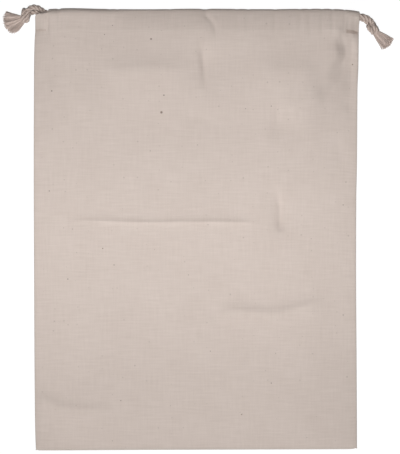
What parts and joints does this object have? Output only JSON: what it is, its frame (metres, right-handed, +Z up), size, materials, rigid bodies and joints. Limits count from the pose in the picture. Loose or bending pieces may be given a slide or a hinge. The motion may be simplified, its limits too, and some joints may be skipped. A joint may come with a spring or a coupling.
{
  "type": "drawstring storage bag",
  "caption": "Flat rectangular cotton bag with a sewn casing along its mouth and drawcords knotted together at each side, for storing and closing up small goods.",
  "frame": {"origin": "on the surface that the bag lies on, under the middle of the bag's outline without its cords", "axes": "+X across the bag to its right, +Y from the bottom seam to the mouth, +Z up out of the front panel"},
  "size_m": [0.3623, 0.4142, 0.0197],
  "materials": {
    "cotton_cloth": "unbleached plain-weave cotton, matt",
    "cotton_cord": "soft twisted cotton cord, matt",
    "cotton_yarn": "frayed cotton yarn, matt"
  },
  "bodies": {
    "root": {"front_panel": "cotton_cloth", "back_panel": "cotton_cloth", "front_cord": "cotton_cord", "back_cord": "cotton_cord", "left_knot": "cotton_cord", "right_knot": "cotton_cord", "left_tassel": "cotton_yarn", "right_tassel": "cotton_yarn"}
  },
  "joints": []
}
